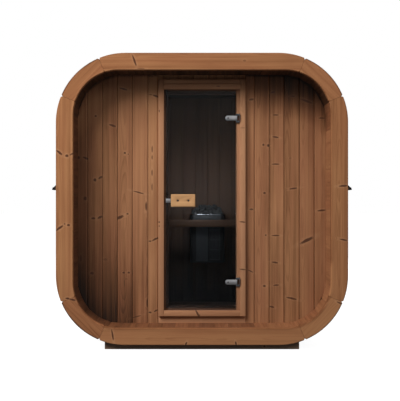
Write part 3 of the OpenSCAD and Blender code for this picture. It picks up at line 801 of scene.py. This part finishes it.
wall = {
    "face": -0.565, "back": -0.523,      # front wall
    "rearFace": 0.755, "rearInner": 0.713,
    "reach": 0.330,                      # outline radius that the boards' ends follow, inside the staves
    "edge": 0.917,                       # sideways reach
    "left": [-839, -729, -620, -510, -396],
    "right": [387, 496, 605, 717, 827],
    "frame": 0.320, "frameTop": 1.942,
    "shoulder": 0.0085, "lap": 0.0032,   # long bevel on a board's right edge and short one on its left
    "gap": 0.0006, "groove": 0.0055, "tongue": 0.006,
    "halves": (0.004, 0.0035, 0.0045, 0.004),   # half thickness of tongue and groove, each at mouth and tip
    # Shares of the board's length
    "stations": [0, 0.05, 0.12, 0.20, 0.30, 0.42, 0.55, 0.75, 0.82, 0.88, 0.93, 0.985, 1.0],
    # Tone on the right edge's bevel is a painted highlight; the seams' tone gives dark joints
    "bevelHighlight": -1.6, "seamTone": 3.0,
    # Painted shade: at a board's foot over a share of its length, under the ceiling between these shares, and
    # at the back wall's foot
    "footShadeReach": 0.55, "headShadeShares": [0.82, 0.93, 0.985, 1.0],
    "overDoorCount": 7, "rearCount": 17, "rearFootShade": 9.0,
}
# Tone, hue, painted shade at the foot and painted shade under the ceiling of the wall's boards, from
# left to right. The tone is partly the board's own and partly painted shade, deepest on the left
wallTones = [
    (1.9, 0.5, 7.0, -0.8), (0.9, 0.4, 6.4, -1.0), (1.3, -0.1, 6.6, -1.3), (0.2, 0.5, 5.2, -1.2),
    (-0.4, 0.6, 3.4, -0.8), (-0.7, -0.6, 2.2, -0.3), (-0.1, 0.5, 0.0, 1.0), (0.0, 0.5, 0.0, 2.4),
    (0.5, -0.3, 0.0, 3.6), (0.8, -0.8, 0.0, 4.2), (0.6, 0.2, 0.0, 4.2), (0.3, 0.5, 0.0, 3.4),
]


def wallHeight(x, sign):
    # Height of the rounded outline above or below a sideways place
    past = np.maximum(np.abs(x) - cabin["innerCentre"], 0)
    rise = np.sqrt(np.maximum(wall["reach"] ** 2 - past ** 2, 0))
    return cabin["middleZ"] + sign * (cabin["innerCentre"] + rise)


def wallBoard(x0, x1, face, back, luck, tone=None, hue=None, foot=0.0, head=0.0, low=None):
    # Tongue-and-groove board: its cross section is carried upright from the rounded outline, or from
    # a level, up to the outline. Painted shade darkens its foot by the square of the way down, and
    # its head under the ceiling; the bevel on its right edge carries a painted highlight
    g, s, l, d, t = wall["gap"], wall["shoulder"], wall["lap"], wall["groove"], wall["tongue"]
    into = math.copysign(1, back - face)
    middle = (face + back) / 2
    root, tip, mouth, floor = (into * half for half in wall["halves"])
    section = np.array([
        (x0 + g + l, face), (x1 - g - s, face), (x1 - g - s * 0.35, face + into * d * 0.45),
        (x1 - g, face + into * d), (x1 - g, middle - root), (x1 + t, middle - tip),
        (x1 + t, middle + tip), (x1 - g, middle + root), (x1 - g, back - into * d * 0.5),
        (x1 - g - l, back), (x0 + g + l, back), (x0 + g, back - into * d * 0.5),
        (x0 + g, middle + mouth), (x0 + t + g, middle + floor), (x0 + t + g, middle - floor),
        (x0 + g, middle - mouth), (x0 + g, face + into * d), (x0 + g + l * 0.3, face + into * d * 0.4),
    ])
    x = section[:, 0]
    bottom = wallHeight(x, -1) if low is None else np.full(len(x), low)
    top = wallHeight(x, 1)
    share = np.array(wall["stations"])[:, None]
    rows = np.stack([x + 0 * share, section[:, 1] + 0 * share, bottom + (top - bottom) * share], axis=-1)
    part = boardPart(rows, upright, luck, tone, hue)
    # Painted highlight on the right bevel, dark joints at the seams
    bevel = np.zeros(len(section))
    bevel[2], bevel[3], bevel[16] = wall["bevelHighlight"], wall["seamTone"], wall["seamTone"]
    # Painted shade at the foot and under the ceiling, on the face only
    footShade = np.clip(1 - share / wall["footShadeReach"], 0, 1) ** 2 * foot
    headShade = np.interp(share, wall["headShadeShares"], [0, head - 0.2, head + 1.5, head + 8.3])
    towardsDoor = section[:, 1] < middle
    part["tone"] = (part["tone"] + bevel + (footShade + headShade) * towardsDoor).ravel()
    return part


def wallBoards(seams, luck, face=wall["face"], back=wall["back"], tones=None, **more):
    return [wallBoard(a, b, face, back, luck, *(next(tones) if tones else ()), **more)
            for a, b in zip(seams[:-1], seams[1:])]


def frontWall():
    luck = np.random.default_rng(31)
    jamb, edge = wall["frame"], wall["edge"]
    leftSeams = [-edge] + [x * mm for x in wall["left"]] + [-jamb]
    rightSeams = [jamb] + [x * mm for x in wall["right"]] + [edge]
    tones = iter(wallTones)
    # The first three boards and the rest have their own knots
    for name, node, seams, first, rest in (
            ("frontWallLeft", "front_wall_left", leftSeams, leftWallWood, doorsideWallWood),
            ("frontWallRight", "front_wall_right", rightSeams, rightWallWood, outerWallWood)):
        parts = wallBoards(seams, luck, tones=tones)
        boardObject(name, parts[:3], first, [node])
        boardObject(name + "Rest", parts[3:], rest)
    middle = np.linspace(wall["left"][-1], wall["right"][0], wall["overDoorCount"] + 1) * mm
    over = wallBoards([-jamb] + list(middle[1:-1]) + [jamb], luck, low=wall["frameTop"])
    boardObject("frontWallOverDoor", over, leftWallWood, ["front_wall_over_door"])


def backWall():
    luck = np.random.default_rng(32)
    seams = np.linspace(-wall["edge"], wall["edge"], wall["rearCount"] + 1)
    parts = wallBoards(seams, luck, wall["rearFace"], wall["rearInner"], foot=wall["rearFootShade"])
    boardObject("backWallBoards", parts, backWallWood, ["back_wall"])


frontWall()
backWall()
print("end walls ready")


# Door frame, cradles and rails: the CAD's own forms with rounded edges and laid grain

# Painted shade at the jambs' heads under the porch's ceiling: heights and tones
headShadeHeights, headShadeTones = (1.66, 1.80, 1.90), (0.0, 1.3, 3.0)
# Painted shade in the rebate behind the glass, and painted light on the open strip at the hinge side
rebate = {"front": -0.572, "back": -0.52, "tone": 6.0, "stripX": 0.2515, "stripY": -0.56, "stripLight": -1.6}


def rebateShade(points):
    # Painted shade: the rebate behind the glass is dark
    return rebate["tone"] * ((points[:, 1] > rebate["front"]) & (points[:, 1] < rebate["back"]))


def jambHeadShade(points):
    # Painted shade under the porch's ceiling
    return np.interp(points[:, 2], headShadeHeights, headShadeTones)


def latchShade(points):
    return rebateShade(points) + jambHeadShade(points)


def hingeShade(points):
    # Painted light: the stop strip beside the glass lies open to the front and is lightened against the
    # shade it lies in, as pale as the jamb's face
    openStrip = (points[:, 0] > rebate["stripX"]) & (points[:, 1] < rebate["stripY"])
    return np.where(openStrip, rebate["stripLight"], rebateShade(points)) + jambHeadShade(points)


def cradleShade(points):
    # Painted light along the ground and painted shade under the staves and the ring
    return np.interp(points[:, 2], [0.0, 0.012, 0.03], [-1.6, -0.6, 3.0])


for name, node, ways, seed, tone, hue, shade, cuts in (
        ("latchJamb", "door_latch_jamb", upright, 41, -1.5, 0.4, latchShade, headShadeHeights),
        ("hingeJamb", "door_hinge_jamb", upright, 42, -0.3, 0.2, hingeShade, headShadeHeights),
        ("frameHead", "door_head", level, 43, -0.5, 0.3, rebateShade, ()),
        ("frameHeadCasing", "door_head_casing", level, 44, -0.2, 0.0, rebateShade, ()),
        ("frameSill", "door_sill", level, 45, -0.1, 0.0, rebateShade, ())):
    dressNode(name, node, frameWood, 0.002, ways, seed,
              tone=tone, hue=hue, shade=shade, cuts=cuts)
# The board under the sill is painted lighter, against the sill's shadow
dressNode("frontWallUnderDoor", "front_wall_under_door", frameWood, 0.001, level, 46,
          tone=-2.4, hue=0.2)
for k, place in enumerate(["front", "middle", "rear"]):
    dressNode(place + "CradlePlank", place + "_cradle", cradleWood, 0.003, level, 51 + k,
              shade=cradleShade)
dressNode("guardFrontRail", "guard_front_rail", frameWood, 0.004, level, 55, tone=-1.2, hue=0.3)
dressNode("guardSideRails", "guard_side_rails", railWood, 0.004, inward, 56, hue=0.5)
print("frame, cradles and rails ready")


# Glass door

dressNode("doorGlass", "door_glass", smokedGlass, 0.0008, upright, 61, body="door", segments=1)
dressNode("outerHandle", "outer_handle", handleWood, 0.0012, level, 62, body="door", tone=0.2)
dressNode("innerHandle", "inner_handle", handleWood, 0.0012, level, 63, body="door")
dressNode("doorLatch", "door_latch", steel, 0.0015, level, 64, body="door")
dressNode("upperHingeClamp", "upper_hinge_clamp", steel, 0.0008, level, 65, body="door")
dressNode("lowerHingeClamp", "lower_hinge_clamp", steel, 0.0008, level, 66, body="door")
# The wall leaves take the dark steel, partly their own colour and partly painted shade of the recess they sit
# in
dressNode("hingeWallLeaves", "hinge_wall_leaves", darkSteel, 0.0005, level, 67)

door = {
    "hingeZ": (1.658, 0.457), "clampLeft": 0.171, "capFace": -0.5873,
    "screwX": (-0.1755, -0.0985), "handleZ": 1.054, "recessFloor": -0.598,
    "handleScrew": (0.0062, 0.005), "clampScrew": (0.0065, 0.0018), "clampScrewIn": 0.021,
}


def screwRows(centre, r, h):
    # Head with a rounded rim and a sunk socket, facing the front
    profile = [(r * 0.98, 0), (r, h * 0.25), (r, h * 0.7), (r * 0.9, h * 0.95), (r * 0.8, h),
               (r * 0.5, h), (r * 0.48, h * 0.35), (0.00001, h * 0.3)]
    return latheRows([(a, -b) for a, b in profile], centre, "y")


handleScrews = [screwRows((x, door["recessFloor"] - 0.0001, door["handleZ"]), *door["handleScrew"])
                for x in door["screwX"]]
clampScrews = [screwRows((door["clampLeft"] + door["clampScrewIn"], door["capFace"], z), *door["clampScrew"])
               for z in door["hingeZ"]]
plainObject("handleScrews", handleScrews, darkSteel, body="door")
plainObject("clampScrews", clampScrews, darkSteel, body="door")
print("glass door ready")


# Straps

dressNode("frontStrap", "front_strap", strapSteel, 0.0, level, 71)
dressNode("rearStrap", "rear_strap", strapSteel, 0.0, level, 72)

tension = {
    "x": 1.0415, "z": 1.141, "y": (-0.700, 0.700), "bolt": 0.0030, "upper": 0.0235, "lower": 0.0125,
    "across": 0.0055, "bevel": 0.0048,   # half width of head and nut, and of their bevelled ends
    # Rubber cap: outline in X and Z, then steps along the strap's width and how wide the outline is there
    "cap": [(1.0245, 1.174), (1.034, 1.1735), (1.044, 1.168), (1.0705, 1.1430), (1.0735, 1.1385),
            (1.0738, 1.1340), (1.0715, 1.1310), (1.060, 1.1290), (1.0245, 1.1280)],
    "capSteps": [-0.0165, -0.0150, 0.0150, 0.0165], "capWidths": [0.93, 1.0, 1.0, 0.93],
}


def tensionBolts():
    # Bolt through both lugs, with a hexagonal head above and a nut below
    rows = []
    for side in (-1, 1):
        for y in tension["y"]:
            centre = (side * tension["x"], y, tension["z"])
            up, down, r = tension["upper"], -tension["lower"], tension["bolt"]
            wide, bevel = tension["across"], tension["bevel"]
            stem = [(r * 0.6, down - 0.008), (r, down - 0.007), (r, up - 0.006)]
            head = [(0.0052, up - 0.006), (wide, up - 0.0055), (wide, up - 0.002), (bevel, up - 0.001)]
            nut = [(bevel, down - 0.004), (wide, down - 0.0035), (wide, down + 0.001)]
            rows += [latheRows(stem, centre, "z", 16), latheRows(head, centre, "z", 6),
                     latheRows(nut, centre, "z", 6)]
    return rows


def lugCaps():
    # Soft wedge pushed over each pair of lugs
    outline = np.array(tension["cap"])
    middle = outline.mean(axis=0)
    depth = np.array(tension["capSteps"])[:, None]
    flat = (outline - middle) * np.array(tension["capWidths"])[:, None, None] + middle
    return [np.stack([side * flat[..., 0], y + depth + 0 * flat[..., 0], flat[..., 1]], axis=-1)
            for side in (-1, 1) for y in tension["y"]]


plainObject("tensionBolts", tensionBolts(), strapSteel)
plainObject("lugCaps", lugCaps(), capRubber, ways=lying)
print("straps ready")


# Heater

heater = {
    "x": (-0.098, 0.196), "y": (0.413, 0.673), "z": (0.525, 0.936), "round": 0.036,
    "rim": 0.0050, "seed": 81,
    # Lift over the rim, stones each way, size and inset of each layer
    "layers": [(-0.022, 6, 5, 0.030, 0.000), (0.012, 6, 5, 0.028, 0.012),
               (0.040, 5, 4, 0.026, 0.026), (0.064, 4, 2, 0.023, 0.060)],
    "cuts": 13, "soft": 9,               # planes that cut a stone, and how little they are softened
    "cutDepth": (0.68, 1.0), "squash": (0.72, 1.0), "farthest": 1.12, "sizes": (0.85, 1.2),
    "bed": (0.028, 0.040, 0.030),        # room left of, before and behind the stones
    "shake": (0.008, 0.006),             # how far a stone lies off its place, sideways and up
    # Panel: left and right edge from the casing's left, room under and over it, how far its face
    # stands out, thickness and bevel. Bars: room at left and right, pitch and width come first; cross
    # bars: room at left, right, foot and head, count and width come first
    "panel": (0.050, 0.152, 0.012, 0.030, 0.003, 0.004, 0.0012),
    "bars": (0.166, 0.036, 0.0115, 0.005, 0.020, 0.040, 0.006, 0.0065, 0.0012),
    "crossBars": (0.164, 0.034, 0.024, 0.052, 5, 0.008, 0.004, 0.0045, 0.001),
}

dressNode("heaterCasing", "heater_casing", heaterPaint, 0.0008, upright, 82)
dressNode("heaterBracket", "heater_bracket", heaterPaint, 0.001, upright, 83)


def heaterOutline(inset, count=12, lead=0.004):
    # Rounded rectangle seen from above, as one closed loop of points. A point a little way along each
    # straight side keeps the side's shading level
    (x0, x1), (y0, y1), r = heater["x"], heater["y"], heater["round"]
    corners = [(x1 - r, y1 - r, 0), (x0 + r, y1 - r, 90), (x0 + r, y0 + r, 180), (x1 - r, y0 + r, 270)]
    loop = []
    for cx, cy, first in corners:
        angle = np.radians(first + np.linspace(0, 90, count))
        arc = np.stack([cx + (r - inset) * np.cos(angle), cy + (r - inset) * np.sin(angle)], axis=-1)
        ways = np.stack([-np.sin(angle), np.cos(angle)], axis=-1) * lead
        loop += [arc[:1] - ways[:1], arc, arc[-1:] + ways[-1:]]
    return np.concatenate(loop)


def heaterRim():
    # Round bar carried along the casing's top edge
    loop = heaterOutline(0.0035)
    ahead = np.roll(loop, -1, axis=0) - np.roll(loop, 1, axis=0)
    ahead /= np.linalg.norm(ahead, axis=1)[:, None]
    out = np.stack([ahead[:, 1], -ahead[:, 0]], axis=-1)
    angle = np.arange(10) * 2 * math.pi / 10
    flat = loop[:, None, :] + out[:, None, :] * (heater["rim"] * np.cos(angle))[None, :, None]
    lift = np.repeat((heater["z"][1] + heater["rim"] * np.sin(angle))[None, :], len(loop), axis=0)
    rows = np.concatenate([flat, lift[..., None]], axis=-1)
    faces = sweepFaces(len(loop), len(angle), 0, closed=True)
    mesh = bpy.data.meshes.new("heaterRim")
    mesh.from_pydata(rows.reshape(-1, 3).tolist(), [], faces.tolist())
    closeMesh(mesh, 60)
    placeObject("heaterRim", mesh, rimSteel, "cabin")


def stoneRows(centre, radius, luck, across=18, up=11):
    # A sphere cut by random planes: each direction reaches the nearest plane, softened a little
    theta = np.linspace(0.04, math.pi - 0.04, up)[:, None]
    phi = (np.arange(across) * 2 * math.pi / across)[None, :]
    flat, lift = np.sin(theta), np.cos(theta) + 0 * phi
    way = np.stack([flat * np.cos(phi), flat * np.sin(phi), lift], axis=-1)
    planes = luck.normal(size=(heater["cuts"], 3))
    planes /= np.linalg.norm(planes, axis=1)[:, None]
    depth = luck.uniform(*heater["cutDepth"], size=heater["cuts"])
    share = np.maximum(way @ planes.T, 0.05)
    reach = ((share / depth) ** heater["soft"]).sum(axis=-1) ** (-1 / heater["soft"])
    reach = np.minimum(reach, heater["farthest"]) * radius
    squash = luck.uniform(*heater["squash"], size=3)
    rows = way * reach[..., None] * squash
    turn = luck.uniform(0, math.pi)
    spin = np.array([[math.cos(turn), -math.sin(turn), 0], [math.sin(turn), math.cos(turn), 0], [0, 0, 1]])
    return rows @ spin.T + np.asarray(centre)


def heaterStones():
    luck = np.random.default_rng(heater["seed"])
    (x0, x1), (y0, y1), top = heater["x"], heater["y"], heater["z"][1]
    (side, before, behind), (shake, lifted) = heater["bed"], heater["shake"]
    rows = []
    for lift, countX, countY, size, inset in heater["layers"]:
        for x in np.linspace(x0 + side + inset, x1 - side - inset, countX):
            for y in np.linspace(y0 + before + inset, y1 - behind - inset, countY):
                place = (x + luck.uniform(-shake, shake), y + luck.uniform(-shake, shake),
                         top + lift + luck.uniform(-lifted, lifted))
                rows.append(stoneRows(place, size * luck.uniform(*heater["sizes"]), luck))
    plainObject("heaterStones", rows, stone, ["heater_stones"], angle=28)


def panelRows(x0, x1, z0, z1, face, thick, edge):
    # Flat panel with bevelled edges, its loop drawn in at front and back
    def loop(inset, y):
        left, right, low, high = x0 + inset, x1 - inset, z0 + inset, z1 - inset
        return [(left, y, low), (right, y, low), (right, y, high), (left, y, high)]

    return np.array([loop(0, face + thick), loop(0, face + edge), loop(edge, face)], float)


def heaterFront():
    # A smooth control panel at the left, and a row of upright grille bars at the right
    (x0, x1), y0, (z0, z1) = heater["x"], heater["y"][0], heater["z"]
    luck = np.random.default_rng(84)
    left, right, foot, head, out, *form = heater["panel"]
    panel = [panelRows(x0 + left, x0 + right, z0 + foot, z1 - head, y0 - out, *form)]
    left, right, pitch, wide, foot, head, out, *form = heater["bars"]
    bars = [panelRows(x, x + wide, z0 + foot, z1 - head, y0 - out, *form)
            for x in np.arange(x0 + left, x1 - right, pitch)]
    left, right, foot, head, count, wide, out, *form = heater["crossBars"]
    cross = [panelRows(x0 + left, x1 - right, z, z + wide, y0 - out, *form)
             for z in np.linspace(z0 + foot, z1 - head, count)]
    for name, rows in (("heaterPanel", panel), ("heaterGrille", bars + cross)):
        plainObject(name, rows, heaterPanelPaint, angle=None, luck=luck)


heaterRim()
heaterStones()
heaterFront()
print("heater ready")


# Floor, lamps and camera

studio = {
    "floorColour": (0.16, 0.16, 0.16, 1), "floorGlow": 0.92,
    "sky": 0.03,
    # Place, size across and power of each lamp, all aimed at the cabin
    "lamps": {
        "key": ((-3.9, -4.3, 5.7), 4.4, 690.0),
        "fill": ((3.2, -5.0, 4.8), 4.0, 105.0),
        "room": ((0.0, -0.05, 1.20), 0.16, 0.55),
        "glint": ((-0.060, -0.05, 1.22), 0.17, 1.05),
        "left": ((-7.0, 2.0, 3.4), 4.0, 260.0),
        "right": ((7.0, 2.0, 3.4), 4.0, 230.0),
        "rear": ((2.0, 7.5, 4.2), 5.0, 420.0),
    },
    # The two small ones inside have targets of their own and a narrower cone
    "targets": {"room": (0.0, 0.71, 1.15), "glint": (0.0, 0.41, 0.94)},
    "cabin": (0, -0.6, 1.0), "cone": 120,
    "cameraPlace": (-0.014, -6.645, 1.055), "lens": 74.33,
}


def whiteRays(tree, mirrored=True):
    # Rays that should meet the plain white background: the camera's, mirrored ones and those through
    # glass, before any of them has been scattered
    path = addNode(tree, "ShaderNodeLightPath").outputs
    seen = Signal(path["Is Camera Ray"]).math("MAXIMUM", Signal(path["Is Transmission Ray"]))
    if mirrored:
        seen = seen.math("MAXIMUM", Signal(path["Is Glossy Ray"]))
    return seen * Signal(path["Diffuse Depth"]).math("LESS_THAN", 0.5)


def buildStudio():
    floorMaterial, tree, shader = materialWith("plainFloor", studio["floorColour"], 0.9)
    feed(shader.inputs["Emission Color"], (1, 1, 1, 1))
    feed(shader.inputs["Emission Strength"], whiteRays(tree, mirrored=False) * studio["floorGlow"])
    mesh = bpy.data.meshes.new("floor")
    size = 60
    corners = [(-size, -size, 0), (size, -size, 0), (size, size, 0), (-size, size, 0)]
    mesh.from_pydata(corners, [], [(0, 1, 2, 3)])
    mesh.materials.append(floorMaterial)
    newObject("floor", mesh)

    world = bpy.data.worlds.new("plainSky")
    bpy.context.scene.world = world
    world.use_nodes = True
    back = world.node_tree.nodes["Background"].inputs
    feed(back["Color"], (1, 1, 1, 1))
    feed(back["Strength"], whiteRays(world.node_tree).ramp(0.0, 1.0, studio["sky"], 1.0, "LINEAR"))

    targets = studio["targets"]
    for name, (place, across, power) in studio["lamps"].items():
        lamp = bpy.data.lights.new(name, "AREA")
        lamp.shape = "RECTANGLE" if name in targets else "DISK"
        lamp.size = across
        lamp.size_y = across / 3
        lamp.energy = power
        lamp.spread = math.radians(studio["cone"] if name in targets else 180)
        holder = newObject(name, lamp)
        holder.location = place
        way = np.array(targets.get(name, studio["cabin"])) - np.array(place)
        holder.rotation_mode = "XYZ"
        flat = math.hypot(way[0], way[1])
        holder.rotation_euler = (math.atan2(flat, -way[2]), 0, math.atan2(way[1], way[0]) - math.pi / 2)
        holder.visible_camera = False
        holder.visible_glossy = name in targets
        holder.visible_diffuse = name != "glint"

    lens = bpy.data.cameras.new("camera")
    lens.lens = studio["lens"]
    lens.sensor_width = 36
    lens.sensor_fit = "AUTO"
    lens.clip_end = 200
    camera = newObject("camera", lens)
    camera.location = studio["cameraPlace"]
    camera.rotation_euler = (math.pi / 2, 0, 0)
    bpy.context.scene.camera = camera
    bpy.context.scene.view_settings.view_transform = "Standard"


buildStudio()
print("floor, lamps and camera ready")
